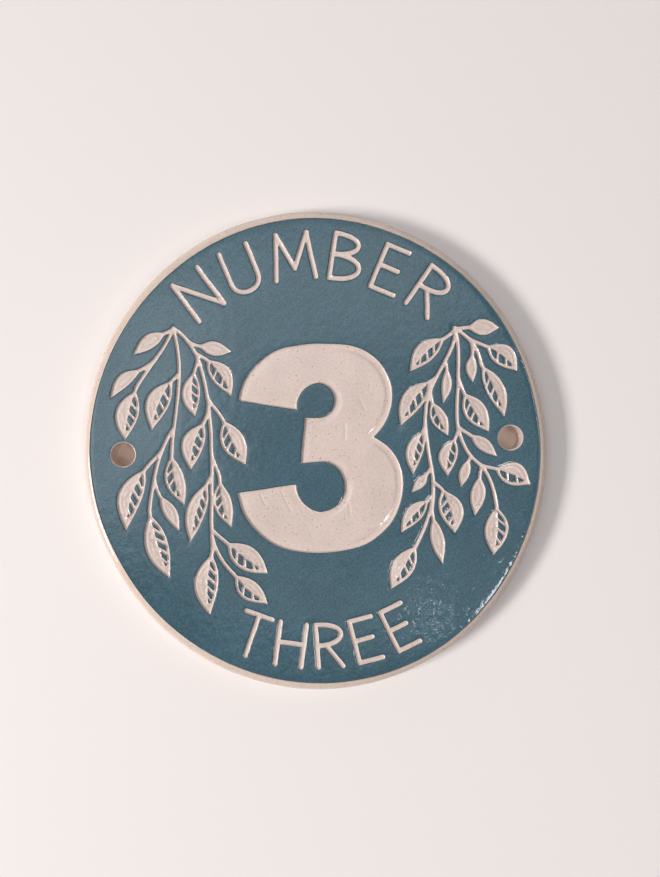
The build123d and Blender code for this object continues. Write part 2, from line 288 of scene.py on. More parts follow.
def leaf_spray_tree(patterns):
    """Sets each leaf's pattern on its place, turned, sized and bowed for it."""
    tree, start, end = new_tree(
        "GeometryNodeTree",
        "leaf_sprays",
        [("Places", "Geometry", None), ("Finish", "Material", None)],
        [("Leaves", "Geometry")],
    )
    choice = add_node(tree, "GeometryNodeGeometryToInstance")
    for pattern in reversed(patterns):
        info = add_node(tree, "GeometryNodeObjectInfo", {"Object": pattern, "As Instance": True})
        tree.links.new(info.outputs["Geometry"], choice.inputs[0])

    rotation = add_node(tree, "ShaderNodeCombineXYZ", {"Y": read(tree, "turn")})
    values = {
        "Points": start.outputs["Places"],
        "Instance": choice.outputs[0],
        "Pick Instance": True,
        "Instance Index": read(tree, "pattern", "INT"),
        "Rotation": rotation.outputs[0],
        "Scale": read(tree, "size", "FLOAT_VECTOR"),
    }
    leaves = add_node(tree, "GeometryNodeInstanceOnPoints", values)
    real = add_node(tree, "GeometryNodeRealizeInstances", {0: leaves.outputs[0]})
    share = read(tree, "share")
    rest = calc(tree, "SUBTRACT", 1.0, share)
    bend = calc(tree, "MULTIPLY", 4.0, calc(tree, "MULTIPLY", share, rest))
    bow = {0: read(tree, "bow", "FLOAT_VECTOR"), "Scale": bend}
    offset = add_node(tree, "ShaderNodeVectorMath", bow, operation="SCALE")
    values = {"Geometry": real.outputs[0], "Offset": offset.outputs[0]}
    bowed = add_node(tree, "GeometryNodeSetPosition", values)
    finish = {"Geometry": bowed.outputs[0], "Material": start.outputs["Finish"]}
    tree.links.new(add_node(tree, "GeometryNodeSetMaterial", finish).outputs[0], end.inputs[0])
    return tree


def twig(stem_curve, leaf):
    """The line from a stem to a leaf: it leaves along the stem and runs into the leaf's middle."""
    length, way, across = leaf_ways(leaf)
    into_leaf = way + across * 4 * leaf.bow / length
    base = np.array(leaf.base)
    reach = np.hypot(*(bezier(stem_curve, [leaf.along])[0] - base))
    stem_length = np.hypot(*np.diff(bezier(stem_curve, np.linspace(0, 1, MEASURE_POINTS)), axis=0).T).sum()
    fork = max(0.0, leaf.along - FORK_LEAD * reach / stem_length) if leaf.along < 1 else 1.0
    step = [fork, min(fork + FORK_STEP, 1)] if fork < 1 else [1 - FORK_STEP, 1]
    start, ahead = bezier(stem_curve, step)
    along_stem = (ahead - start) / max(np.hypot(*(ahead - start)), 1e-9)
    bend = np.hypot(*(base - start)) * FORK_BEND
    controls = [start, start + along_stem * bend, base - into_leaf * bend, base + into_leaf]
    return bezier(controls, np.linspace(0, 1, TWIG_POINTS)) * mm


pattern_counts = [0] + list(range(FEWEST_WINDOWS, MOST_WINDOWS + 1))
leaf_patterns = [new_object(f"leaf_{count}", leaf_pattern(count)) for count in pattern_counts]
leaf_stencil = new_object("leaf_stencil", leaf_layout(pattern_counts))
stencil = run_nodes(leaf_stencil, leaf_spray_tree(leaf_patterns))
stencil_points = mesh_points(stencil)[:, [0, 2]]
cuts, standing = [], []
for face, is_window in zip(stencil.polygons, stencil.attributes["window"].data):
    outline = stencil_points[list(face.vertices)]
    if is_window.value:
        standing.append(Cut(outline, True, 0.0, 0.0))
    else:
        cuts.append(Cut(outline, True, LEAF_ROUNDING, LEAF_DEPTH))
for helper in [leaf_stencil, *leaf_patterns]:
    bpy.data.objects.remove(helper)
for stem in STEMS:
    lines = [bezier(stem.curve, np.linspace(0, 1, STEM_POINTS)) * mm]
    lines += [twig(stem.curve, leaf) for leaf in stem.leaves]
    cuts += [Cut(line, False, STEM_WIDTH / 2, STEM_DEPTH) for line in lines]

# Numeral: the house's number, cut a little deeper than the leaves and scraped flat with a broad loop
# tool, which leaves a shallow channel along its edges and a few nicks in its floor.

NUMERAL_DEPTH = 0.5 * mm
NUMERAL_START = (-5.9, 12.9)
# A single point ends a straight cut, and a pair is a point on an arc and the arc's end
NUMERAL_CUTS = [
    [(-22.9, 15.6)],
    [(-24.1, 16.1), (-24.2, 17.3)],
    [(-19.5, 26.3), (-9.9, 32.4)],
    [(0.0, 33.7), (8.1, 33.5)],
    [(18.3, 29.5), (23.9, 20.1)],
    [(22.8, 10.9), (18.2, 4.4)],
    [(24.2, -0.4), (27.4, -9.1)],
    [(24.9, -20.6), (13.9, -30.1)],
    [(4.0, -32.0), (-5.8, -31.6)],
    [(-18.3, -25.7), (-24.7, -13.3)],
    [(-6.3, -10.6)],
    [(-4.0, -16.4), (1.5, -19.3)],
    [(9.2, -11.2), (2.5, -3.3)],
    [(-4.7, -4.0)],
    [(-3.5, 10.3)],
    [(1.2, 10.3)],
    [(5.9, 15.8), (0.6, 21.3)],
    [(-4.2, 18.9), (-5.9, 12.9)],
]
NICK_REACH, NICK_DEPTH = 0.45 * mm, 0.08 * mm
NICK_ROWS = (-1, -0.45, 0, 0.45, 1)
NICKS = [
    [(-10.9, -12.3), (-9.6, -15.8), (-7.9, -18.8)],
    [(-17.4, -13.6), (-16.9, -15.6), (-15.8, -17.1)],
    [(9.2, 8.5), (9.4, 6.2), (9.2, 3.6)],
    [(10.5, -16.4), (10.6, -18.4), (11.0, -20.3)],
    [(14.0, 16.0), (15.0, 14.2), (15.6, 12.8)],
]


def arc(start, through, end, count=24):
    """Points on the arc from start to end through a third point, without the start."""
    a, b, c = (complex(*point) for point in (start, through, end))
    ratio = (c - a) / (b - a)
    centre = (b - a) * (ratio - abs(ratio) ** 2) / (ratio - ratio.conjugate()) + a
    turn = np.angle((c - centre) / (b - centre)) + np.angle((b - centre) / (a - centre))
    spots = centre + (a - centre) * np.exp(1j * turn * np.arange(1, count + 1) / count)
    return np.column_stack([spots.real, spots.imag])


numeral_outline = [np.array([NUMERAL_START])]
for cut in NUMERAL_CUTS:
    here = numeral_outline[-1][-1]
    numeral_outline.append(np.array(cut) if len(cut) == 1 else arc(here, *cut))
numeral_outline = np.vstack(numeral_outline)[:-1] * mm
cuts.append(Cut(numeral_outline, True, 0.0, NUMERAL_DEPTH))

# Words: plain capitals in one stroke width, cut like the stems, over the numeral on an arc that
# reads along the rim and under it on an arc that reads upright.

LETTER_DEPTH = 0.35 * mm
LETTER_STROKE = 1.48 * mm
STROKE_POINTS = 16
OVER, UNDER = 1, -1
# Word, letter height and radius in millimetres, side of the numeral, and the angles of the letters
WORDS = [
    ("NUMBER", 14.2, 61.6, OVER, [-37.0, -22.5, -6.6, 9.0, 22.4, 35.6]),
    ("THREE", 13.4, 61.4, UNDER, [-19.0, -7.4, 4.0, 14.9, 25.6]),
]

# Strokes by their control points, in letter heights, from the letter's lower left corner
UPRIGHT = [(0, 0), (0, 1)]
LETTERS = {
    "B": [UPRIGHT, [(0, 1), (0.72, 1.02), (0.72, 0.54), (0, 0.54)],
          [(0, 0.54), (0.84, 0.56), (0.84, -0.02), (0, 0)]],
    "E": [UPRIGHT, [(0, 1), (0.52, 1)], [(0, 0.52), (0.44, 0.52)], [(0, 0), (0.55, 0)]],
    "H": [UPRIGHT, [(0.62, 0), (0.62, 1)], [(0, 0.52), (0.62, 0.52)]],
    "M": [[(0, 0), (0.1, 1)], [(0.1, 1), (0.44, 0.24)], [(0.44, 0.24), (0.78, 1)], [(0.78, 1), (0.88, 0)]],
    "N": [UPRIGHT, [(0, 1), (0.68, 0)], [(0.68, 0), (0.68, 1)]],
    "R": [UPRIGHT, [(0, 1), (0.78, 1.02), (0.78, 0.5), (0, 0.5)], [(0.22, 0.5), (0.58, 0)]],
    "T": [[(0, 1), (0.64, 1)], [(0.32, 1), (0.32, 0)]],
    "U": [[(0, 1), (0, 0.3)], [(0, 0.3), (0, -0.1), (0.64, -0.1), (0.64, 0.3)], [(0.64, 0.3), (0.64, 1)]],
}


def turning(angle):
    """What turns rows of points clockwise by an angle."""
    cosine, sine = math.cos(angle), math.sin(angle)
    return np.array([[cosine, -sine], [sine, cosine]])


def letter_cuts(letter, height, place, turn):
    """One letter's strokes, its middle at a place of the face, turned clockwise."""
    strokes = [bezier(stroke, np.linspace(0, 1, STROKE_POINTS)) for stroke in LETTERS[letter]]
    middle = np.array([max(stroke[:, 0].max() for stroke in strokes) / 2, 0.5])
    for stroke in strokes:
        line = ((stroke - middle) * height @ turning(turn) + place) * mm
        cuts.append(Cut(line, False, LETTER_STROKE / 2, LETTER_DEPTH))


for word, height, radius, side, angles in WORDS:
    for letter, angle in zip(word, np.radians(angles)):
        place = radius * np.array([math.sin(angle), side * math.cos(angle)])
        letter_cuts(letter, height, place, side * angle)

# Slab: one oval of buff stoneware clay, cut by hand, its face coated with slip up to a bare rim, carved
# while leather-hard, pierced for two screws and fired under a clear glossy glaze. The back is unglazed.

slab_low, slab_high = (np.array(corner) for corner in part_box("plaque"))
SLAB_THICKNESS = slab_high[1] - slab_low[1]
SIDE_REACH, END_REACH = 73.72 * mm, 76.2 * mm
OVAL_LEAN = math.radians(9.1)
RIM_WIDTH, RIM_DROP, RIM_POWER = 4.8 * mm, 4.2 * mm, 2.75
SLIP_INSET = 3.0 * mm
# The slip's edge was wiped by hand: its inset in millimetres, anticlockwise in even steps from the right
SLIP_INSETS = [
    3.24, 3.23, 2.87, 2.66, 2.90, 3.07, 2.92, 3.09, 3.27, 3.37, 3.21, 2.89,
    2.55, 2.73, 3.21, 3.15, 3.28, 3.21, 3.08, 2.88, 2.68, 2.84, 3.21, 3.26,
]
BACK_EDGE = 0.8 * mm
HOLE_RADIUS = 3.85 * mm
HOLE_MOUTH = 0.2 * mm
HOLE_CENTRES = [
    np.array(mount["pos_m"])[[0, 2]] for mount in frame["record"]["mounts"] if mount["kind"] == "bore"
]
AROUND_SLAB, AROUND_HOLE = 480, 64
RIM_RINGS = 14
SIDE_SHARES = (0.35, 0.7, 1.0)
HOLE_WALL_SHARES = (0.25, 0.5, 0.75, 0.96, 1.0)
ROUNDING_TURNS = np.radians((30, 60, 90))

# What the carving tool leaves: the width of a cut's wall, its softened lip, the wander of the hand
WALL_WIDTH = 0.45 * mm
LIP_WIDTH, LIP_DROP = 0.6 * mm, 0.1 * mm
JOIN_SOFTENING, DEPTH_BLEND = 0.2 * mm, 0.1 * mm
WALL_POWER, LIP_POWER = 3.0, 2.0
HAND_SEED = 11
HAND_WANDER = [(0.16 * mm, 1 / (7 * mm)), (0.05 * mm, 1 / (1.2 * mm))]
LEAF_GOUGE, LEAF_RIDGE = 1.3 * mm, 0.26 * mm
NUMERAL_GOUGE, NUMERAL_RIDGE = 2.6 * mm, 0.42 * mm
FAINT_RIDGE, RIDGE_FADE = 0.3, 18 * mm
RIDGE_LEAST, RIDGE_SPAN, RIDGE_WAVES, RIDGE_SEED = 0.4, 0.3, 160.0, 3.0
WAVINESS, WAVE_SCALE = 0.12 * mm, 45.0
# How far the edges stray, in millimetres, how often they turn, per metre, and where in the noise they lie
SLIP_STRAY, SLIP_TURNS, SLIP_LANE = 0.08, 300, 2.2
OVAL_STRAY, OVAL_TURNS, OVAL_LANE = 0.16, 40, 5.3
FINE_SHARE, FINE_TURNS, FINE_LANE = 0.3, 160, 1.4
HOLE_STRAY, HOLE_TURNS, HOLE_LANES, HOLE_CLOSING = 0.12, 1.6, 9.0, 0.4
HAND_LANE = 3.7

# Mesh spacing: along the cut edges, in rings beside them, and over the open face
EDGE_SPACING = 0.45 * mm
SEARCH_SPACING, SEARCH_MARGIN = 0.3 * mm, 1 * mm
SEARCH_BAND, LONGEST_SIDE = 3, 1.6
EDGE_RINGS = np.array(
    [-0.62, -0.42, -0.25, -0.09, 0.15, 0.33, 0.65, 0.98, 1.3, 1.65, 2.0, 2.4, 2.8, 3.3]
) * mm
RING_SLACK = 0.05 * mm
LEAST_SPACING = 0.13 * mm
OPEN_SPACING, OPEN_RIM_GAP, OPEN_HOLE_GAP = 1.3 * mm, 0.5 * mm, 1 * mm
BACK_SPACING, BACK_BORDER = 6.0 * mm, 0.3 * mm
BACK_RIM_GAP, BACK_HOLE_GAP = 4 * mm, 2 * mm
MOUTH_GAP, MOUTH_SHARE, HOLE_SLACK = 0.3 * mm, 0.98, 0.02 * mm
OPEN_CLEARANCE = 0.9 * mm
CUT_CLEARANCE = 3.5 * mm
FAR_OUTSIDE = -3.0 * mm
INNER_RIM_SHARES = [0.17, 0.34, 0.52, 0.72, 0.94, 1.2]


noise.seed_set(HAND_SEED)


def wander(points):
    """How far the hand strays at each point of the face."""
    offsets = np.zeros_like(points)
    for size, pitch in HAND_WANDER:
        strays = np.array([noise.noise_vector((x * pitch, z * pitch, HAND_LANE)) for x, z in points])
        offsets += strays[:, :2] * size
    return offsets


def path_distance(points, line, closed):
    """Distance from each point to a line of straight runs, negative outside a closed one."""
    starts = line if closed else line[:-1]
    runs = (np.roll(line, -1, axis=0) if closed else line[1:]) - starts
    away = points[:, None] - starts
    share = np.clip((away * runs).sum(2) / np.maximum((runs**2).sum(1), 1e-18), 0, 1)
    distance = np.sqrt(((away - share[..., None] * runs) ** 2).sum(2).min(1))
    if not closed:
        return distance
    ends = starts + runs
    spans = (starts[:, 1] > points[:, 1:]) != (ends[:, 1] > points[:, 1:])
    rise = np.where(runs[:, 1] == 0, 1, runs[:, 1])
    crossing = starts[:, 0] + runs[:, 0] * (points[:, 1:] - starts[:, 1]) / rise
    inside = (spans & (points[:, :1] < crossing)).sum(1) % 2 == 1
    return np.where(inside, distance, -distance)


def cut_distance(points, cut):
    distance = path_distance(points, cut.line, cut.closed)
    return distance + cut.reach if cut.closed else cut.reach - distance


def near_cut(points, cut, margin):
    low, high = cut.line.min(0) - margin, cut.line.max(0) + margin
    return np.flatnonzero(((points > low) & (points < high)).all(1))


def carving(points, batch=6000):
    """For each point: how far it lies inside the cuts, how deep they are and how far inside an area."""
    if len(points) > batch:
        parts = [carving(points[i : i + batch], batch) for i in range(0, len(points), batch)]
        return tuple(np.concatenate(columns) for columns in zip(*parts))
    spots = points + wander(points)
    inside = np.full(len(spots), FAR_OUTSIDE)
    area = np.full(len(spots), FAR_OUTSIDE)
    weights, depths = np.full(len(spots), 1e-18), np.full(len(spots), 1e-18 * STEM_DEPTH)
    for cut in cuts:
        near = near_cut(spots, cut, cut.reach - FAR_OUTSIDE)
        own = np.maximum(cut_distance(spots[near], cut), FAR_OUTSIDE)
        furthest_in = np.maximum(own, inside[near])
        gap = np.maximum(JOIN_SOFTENING - np.abs(own - inside[near]), 0) * (furthest_in > -JOIN_SOFTENING)
        inside[near] = furthest_in + gap**2 / (4 * JOIN_SOFTENING)
        weight = np.maximum(own + DEPTH_BLEND, 0) ** 2
        weights[near] += weight
        depths[near] += weight * cut.depth
        if cut.closed:
            area[near] = np.maximum(area[near], own)
    for window in standing:
        near = near_cut(spots, window, -FAR_OUTSIDE)
        own = path_distance(spots[near], window.line, True)
        inside[near] = np.minimum(inside[near], -own)
    return inside, depths / weights, area


def oval_inset(points):
    """How far in from the slab's outline each point lies."""
    local = points @ turning(OVAL_LEAN)
    share = np.hypot(local[:, 0] / SIDE_REACH, local[:, 1] / END_REACH)
    return np.hypot(*local.T) * (1 / np.maximum(share, 1e-6) - 1)


def oval_ring(inset):
    """A ring of points on the slab's outline, drawn in by an inset that may change on the way round."""
    angles = np.linspace(0, 2 * math.pi, AROUND_SLAB, endpoint=False)
    local = np.column_stack([(SIDE_REACH - inset) * np.cos(angles), (END_REACH - inset) * np.sin(angles)])
    return local @ turning(-OVAL_LEAN)


def circle_ring(centre, radius):
    angles = np.linspace(0, 2 * math.pi, AROUND_HOLE, endpoint=False)
    return centre + np.column_stack([np.cos(angles) * radius, np.sin(angles) * radius])


def grid(spacing):
    """Points of a triangular grid over the whole slab."""
    columns = np.arange(-END_REACH, END_REACH, spacing)
    rows = np.arange(-END_REACH, END_REACH, spacing * math.sqrt(3) / 2)
    x, z = np.meshgrid(columns, rows)
    x = x + spacing / 2 * (np.arange(len(rows)) % 2)[:, None]
    return np.column_stack([x.ravel(), z.ravel()])


def clear_of_holes(points, margin):
    gaps = [np.hypot(*(points - centre).T) for centre in HOLE_CENTRES]
    return np.min(gaps, axis=0) > HOLE_RADIUS + margin


def loop_edges(first, count):
    """The edges of a closed loop of points with consecutive numbers."""
    return [(first + i, first + (i + 1) % count) for i in range(count)]


WHOLE_HULL, INSIDE_EDGES = 0, 1


def triangulate(points, edges):
    """Triangles inside the given edges, which they keep, and the new number of each point."""
    corners = [Vector(point) for point in points]
    spots, _, faces, sources, _, _ = delaunay_2d_cdt(corners, edges, [], INSIDE_EDGES, 1e-9)
    numbers = np.zeros(len(points), int)
    for number, source in enumerate(sources):
        numbers[source] = number
    return np.array([tuple(spot) for spot in spots]), np.array(faces), numbers


def cut_edge_tree():
    """Spaces the points of a line evenly along it."""
    tree, start, end = new_tree(
        "GeometryNodeTree",
        "even_edge",
        [("Line", "Geometry", None), ("Spacing", "Float", 0.001)],
        [("Even line", "Geometry")],
    )
    curve = add_node(tree, "GeometryNodeMeshToCurve", {"Mesh": start.outputs["Line"]})
    values = {"Curve": curve.outputs[0], "Length": start.outputs["Spacing"]}
    even = add_node(tree, "GeometryNodeResampleCurve", values, mode="LENGTH")
    line = add_node(tree, "GeometryNodeCurveToMesh", {"Curve": even.outputs[0]})
    tree.links.new(line.outputs[0], end.inputs[0])
    return tree


def cut_edges():
    """The edges of all the cuts: where the carving's distance, taken as a height, passes through zero."""
    points = grid(SEARCH_SPACING)
    points = points[oval_inset(points) > SLIP_INSET - SEARCH_MARGIN]
    inside = carving(points)[0]
    close = np.abs(inside) < SEARCH_BAND * SEARCH_SPACING
    points, inside = points[close], inside[close]
    flat = delaunay_2d_cdt([Vector(point) for point in points], [], [], WHOLE_HULL, 1e-8)
    corners = np.array(flat[2])
    spans = [np.hypot(*(points[corners[:, i]] - points[corners[:, i - 1]]).T) for i in range(3)]
    corners = corners[np.max(spans, axis=0) < LONGEST_SIDE * SEARCH_SPACING]
    mesh = bpy.data.meshes.new("edge_search")
    mesh.from_pydata(np.column_stack([points, inside]).tolist(), [], corners.tolist())
    slicer = bmesh.new()
    slicer.from_mesh(mesh)
    everything = slicer.verts[:] + slicer.edges[:] + slicer.faces[:]
    bmesh.ops.bisect_plane(
        slicer, geom=everything, dist=1e-8, plane_co=(0, 0, 0), plane_no=(0, 0, 1),
        clear_inner=True, clear_outer=True,
    )
    slicer.to_mesh(mesh)
    slicer.free()
    line = new_object("edge_search", mesh)
    even = run_nodes(line, cut_edge_tree(), {"Spacing": EDGE_SPACING})
    bpy.data.objects.remove(line)
    return mesh_points(even)[:, :2], np.array([tuple(edge.vertices) for edge in even.edges])


edge_points, edge_runs = cut_edges()


def edge_ring_points():
    """Points in rings on both sides of the cut edges, kept where no other edge comes nearer."""
    step = 0.02 * mm
    slopes = [carving(edge_points + shift)[0] - carving(edge_points - shift)[0]
              for shift in ((step, 0), (0, step))]
    inwards = np.column_stack(slopes)
    inwards /= np.maximum(np.hypot(*inwards.T), 1e-12)[:, None]
    rings = []
    for offset in EDGE_RINGS:
        ring = edge_points + inwards * offset
        rings.append(ring[np.abs(carving(ring)[0] - offset) < RING_SLACK])
    return np.vstack(rings)


def thinned(points, spacing):
    """Leaves out points that share a small square with an earlier one."""
    squares = np.round(points / spacing).astype(int)
    kept = np.sort(np.unique(squares, axis=0, return_index=True)[1])
    return points[kept]


def open_points():
    """A wide grid over the face, away from the cut edges, the screw holes and the rim."""
    points = grid(OPEN_SPACING)
    on_face = oval_inset(points) > RIM_WIDTH + OPEN_RIM_GAP
    points = points[on_face & clear_of_holes(points, OPEN_HOLE_GAP)]
    inside = carving(points)[0]
    return points[(inside < -OPEN_CLEARANCE) | (inside > CUT_CLEARANCE)]


def nick_points():
    """Rows of points along the nicks in the numeral's floor and beside them."""
    rows = []
    for nick in NICKS:
        line = bezier(nick, np.linspace(-0.05, 1.05, 16)) * mm
        across = (line[-1] - line[0])[::-1] * (1, -1) / np.hypot(*(line[-1] - line[0]))
        rows += [line + across * NICK_REACH * share for share in NICK_ROWS]
    return np.vstack(rows)


def nick_share(points):
    """How much of a nick's depth each point has: a V that fades towards its ends."""
    shares = np.zeros(len(points))
    for nick in NICKS:
        line = bezier(nick, np.linspace(0, 1, 9)) * mm
        near = near_cut(points, Cut(line, False, 0, 0), NICK_REACH)
        gaps = path_distance(points[near], line, False)
        shares[near] = np.maximum(shares[near], 1 - gaps / NICK_REACH)
    return shares


def rim_insets(turns):
    """Insets of even steps round the rim's curve, from the flat face (0) to the upright side (1)."""
    return RIM_WIDTH * (1 - np.sin(turns * math.pi / 2) ** (2 / RIM_POWER))


def rim_drop(inset):
    share = np.clip(1 - inset / RIM_WIDTH, 0, 1)
    return RIM_DROP * (1 - (1 - share**RIM_POWER) ** (1 / RIM_POWER))


def strays(points, turns, lane):
    """Smooth chance from about -1 to 1 at each point, other values for each lane."""
    return np.array([noise.noise((x * turns, z * turns, lane)) for x, z in points])


def slip_edge_insets():
    """The inset of the slip's edge all round, with the small strays of a wiping hand."""
    points = oval_ring(SLIP_INSET)
    angles = np.degrees(np.arctan2(points[:, 1], points[:, 0]))
    steps = np.linspace(0, 360, len(SLIP_INSETS), endpoint=False)
    wiped = np.interp(angles, steps, SLIP_INSETS, period=360)
    return (wiped + strays(points, SLIP_TURNS, SLIP_LANE) * SLIP_STRAY) * mm


def oval_stray():
    """How far the hand-cut outline falls short of a true oval, all round."""
    points = oval_ring(0.0)
    fine = FINE_SHARE * strays(points, FINE_TURNS, FINE_LANE)
    return (1 + strays(points, OVAL_TURNS, OVAL_LANE) + fine) * OVAL_STRAY * mm


def hole_stray(hole):
    """How far a punched hole strays from a true circle, all round."""
    spots = circle_ring(np.zeros(2), 1.0)
    return (strays(spots, HOLE_TURNS, hole * HOLE_LANES) - HOLE_CLOSING) * HOLE_STRAY * mm


# Front face: the slip's edge, the hole mouths, the cut edges with their rings, and the open face
slip_insets = slip_edge_insets()
slip_edge = oval_ring(slip_insets)
mouths = [circle_ring(centre, HOLE_RADIUS + HOLE_MOUTH) for centre in HOLE_CENTRES]
inner_rims = [oval_ring(slip_insets + (RIM_WIDTH - slip_insets) * share) for share in INNER_RIM_SHARES]
loose = np.vstack([nick_points(), edge_ring_points(), *inner_rims, open_points()])
loose = thinned(loose, LEAST_SPACING)
loose = loose[clear_of_holes(loose, HOLE_MOUTH + MOUTH_GAP)]
front = np.vstack([slip_edge, *mouths, edge_points, loose])
fixed_edges = loop_edges(0, AROUND_SLAB)
for hole in range(len(mouths)):
    fixed_edges += loop_edges(AROUND_SLAB + hole * AROUND_HOLE, AROUND_HOLE)
first_edge_point = AROUND_SLAB + len(mouths) * AROUND_HOLE
fixed_edges += (edge_runs + first_edge_point).tolist()
front, front_faces, numbers = triangulate(front, fixed_edges)
slip_edge_numbers = numbers[:AROUND_SLAB]
mouth_numbers = numbers[AROUND_SLAB:first_edge_point].reshape(len(mouths), AROUND_HOLE)
front_faces = front_faces[clear_of_holes(front[front_faces].mean(1), HOLE_MOUTH * MOUTH_SHARE)]
inside, depth, area = carving(front)
face_inside = carving(front[front_faces].mean(1))[0]

SLIP, CLAY, BARE = range(3)
heights = rim_drop(oval_inset(front)) - SLAB_THICKNESS
vertices = [np.column_stack([front[:, 0], heights, front[:, 1]])]
faces = front_faces.tolist()
finishes = np.where(face_inside > 0, CLAY, SLIP).tolist()
fronts = [np.ones(len(front))]


def add_ring(ring, height, front_share):
    """Adds a ring of vertices at one height, or at a height for each, and gives their numbers."""
    first = sum(len(part) for part in vertices)
    vertices.append(np.column_stack([ring[:, 0], np.full(len(ring), height), ring[:, 1]]))
    fronts.append(np.full(len(ring), front_share))
    return np.arange(first, first + len(ring))


def add_band(last, ring, height, front_share, finish):
    """Adds a ring and a band of four-sided faces to it from the last one, which has as many vertices."""
    new = add_ring(ring, height, front_share)
    faces.extend(np.column_stack([last, np.roll(last, -1), np.roll(new, -1), new]).tolist())
    finishes.extend([finish] * len(last))
    return new


# Rim, side and back edge, ring by ring outwards from the slip's edge
rim_start = (1 - SLIP_INSET / RIM_WIDTH) ** (RIM_POWER / 2)
rim_turns = np.linspace(math.asin(rim_start) / (math.pi / 2), 1, RIM_RINGS)[1:]
edge_stray = oval_stray()
last = slip_edge_numbers
for share in rim_insets(rim_turns) / SLIP_INSET:
    insets = slip_insets * share
    ring = oval_ring(insets + edge_stray * (1 - share))
    last = add_band(last, ring, rim_drop(insets) - SLAB_THICKNESS, share, CLAY)
for share in SIDE_SHARES:
    height = (RIM_DROP - SLAB_THICKNESS) * (1 - share) - BACK_EDGE * share
    last = add_band(last, oval_ring(edge_stray), height, 0, CLAY)
for turn in ROUNDING_TURNS:
    inset = BACK_EDGE * (1 - math.cos(turn)) + edge_stray
    last = add_band(last, oval_ring(inset), BACK_EDGE * (math.sin(turn) - 1), 0, BARE)
back_rim = last

# Screw holes: punched through while the clay was soft, so their mouths are rolled in a little
hole_backs = []
for hole, (centre, mouth) in enumerate(zip(HOLE_CENTRES, mouth_numbers)):
    last = mouth
    for turn in ROUNDING_TURNS:
        radius = HOLE_RADIUS + HOLE_MOUTH * (1 - math.sin(turn)) + hole_stray(hole)
        height = HOLE_MOUTH * (1 - math.cos(turn)) - SLAB_THICKNESS
        last = add_band(last, circle_ring(centre, radius), height, 1, CLAY)
    for share in HOLE_WALL_SHARES:
        height = (HOLE_MOUTH - SLAB_THICKNESS) * (1 - share)
        last = add_band(last, circle_ring(centre, HOLE_RADIUS + hole_stray(hole)), height, 0, CLAY)
    hole_backs.append(last)

# Back: flat and unglazed
made = np.vstack(vertices)
back_loops = [back_rim, *hole_backs]
back_field = grid(BACK_SPACING)
clear_of_rim = oval_inset(back_field) > BACK_RIM_GAP
back_field = back_field[clear_of_rim & clear_of_holes(back_field, BACK_HOLE_GAP)]
beside_edges = [oval_ring(BACK_EDGE + edge_stray + BACK_BORDER)]
beside_edges += [circle_ring(centre, HOLE_RADIUS + BACK_BORDER) for centre in HOLE_CENTRES]
back = np.vstack([made[loop][:, [0, 2]] for loop in back_loops] + beside_edges + [back_field])
back_edges, first = [], 0
for loop in back_loops:
    back_edges += loop_edges(first, len(loop))
    first += len(loop)
back_spots, back_faces, numbers = triangulate(back, back_edges)
back_faces = back_faces[clear_of_holes(back_spots[back_faces].mean(1), -HOLE_SLACK)]
back_numbers = np.full(len(back_spots), -1)
back_numbers[numbers[:first]] = np.concatenate(back_loops)
open_back = np.flatnonzero(back_numbers < 0)
back_numbers[open_back] = add_ring(back_spots[open_back], 0.0, 0)
faces += back_numbers[back_faces][:, ::-1].tolist()
finishes += [BARE] * len(back_faces)
made = np.vstack(vertices)


def gouge_ridges():
    """The ridges between the tool's strokes: all over a leaf, and once along the numeral's edge, where
    they fade out towards the left."""
    leaf_turns, numeral_turns = area / LEAF_GOUGE, area / NUMERAL_GOUGE
    in_leaf = np.where(leaf_turns > 0.5, 0.5 + 0.5 * np.cos(2 * math.pi * leaf_turns), 0)
    in_numeral = np.where(numeral_turns > 0.5, 0.5 + 0.5 * np.cos(2 * math.pi * numeral_turns), 0)
    in_numeral[numeral_turns > 1] = 1
    in_numeral *= np.clip(FAINT_RIDGE + front[:, 0] / RIDGE_FADE, FAINT_RIDGE, 1)
    numeral = depth > (LEAF_DEPTH + NUMERAL_DEPTH) / 2
    return np.where(numeral, in_numeral * NUMERAL_RIDGE, in_leaf * LEAF_RIDGE) * (area > 0)


slab_mesh = bpy.data.meshes.new("carved_plaque")
slab_mesh.from_pydata(made.tolist(), [], faces)
beyond_face = len(made) - len(front)
for name, values, elsewhere in (
    ("inside", inside, FAR_OUTSIDE),
    ("depth", depth, 0),
    ("ridge", gouge_ridges(), 0),
    ("nick", nick_share(front), 0),
):
    store(slab_mesh, name, "FLOAT", "POINT", np.pad(values, (0, beyond_face), constant_values=elsewhere))
store(slab_mesh, "front", "FLOAT", "POINT", np.concatenate(fronts))
store(slab_mesh, "finish", "INT", "FACE", finishes)


BRUSH_TURN, BRUSH_STRETCH, BRUSH_RELIEF = math.radians(48), 7.0, 0.3
SLIP_COLOUR = (0.056, 0.117, 0.152)
# The slip's darker band beside the cuts: partly glaze pooled at the cut edges, partly painted shade
POOLED_GLAZE_AND_SHADE_WIDTH, POOLED_GLAZE_AND_SHADE_TONE = 0.4 * mm, 0.65
CLAY_COLOUR = (0.7, 0.565, 0.515)
RIM_COLOUR = (0.7, 0.565, 0.49)
RIM_COLOUR_FROM, RIM_COLOUR_FULL = 0.5 * mm, 2 * mm
